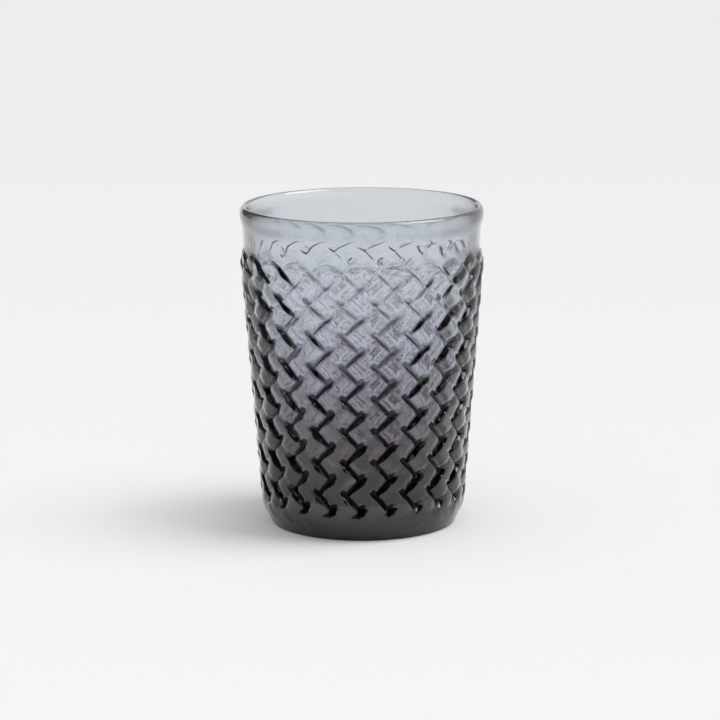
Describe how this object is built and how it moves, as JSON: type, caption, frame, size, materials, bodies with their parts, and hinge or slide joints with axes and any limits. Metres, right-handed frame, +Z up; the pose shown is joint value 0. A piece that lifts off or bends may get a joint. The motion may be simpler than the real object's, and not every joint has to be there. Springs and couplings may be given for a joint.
{
  "type": "glass tumbler",
  "caption": "Tapered pressed-glass tumbler with a beaded rim, a plain neck, a basket weave in relief round the wall and a smooth heavy foot, smoke grey fading to near black.",
  "frame": {"origin": "middle of the flat ring that the tumbler stands on", "axes": "+Z up along the tumbler's axis, -Y towards the picture's viewer"},
  "size_m": [0.0808, 0.0808, 0.106],
  "materials": {
    "smoke_glass": "fire-polished smoke glass, pale at the rim and near black at the foot"
  },
  "bodies": {
    "root": {"glass_body": "smoke_glass"}
  },
  "joints": []
}
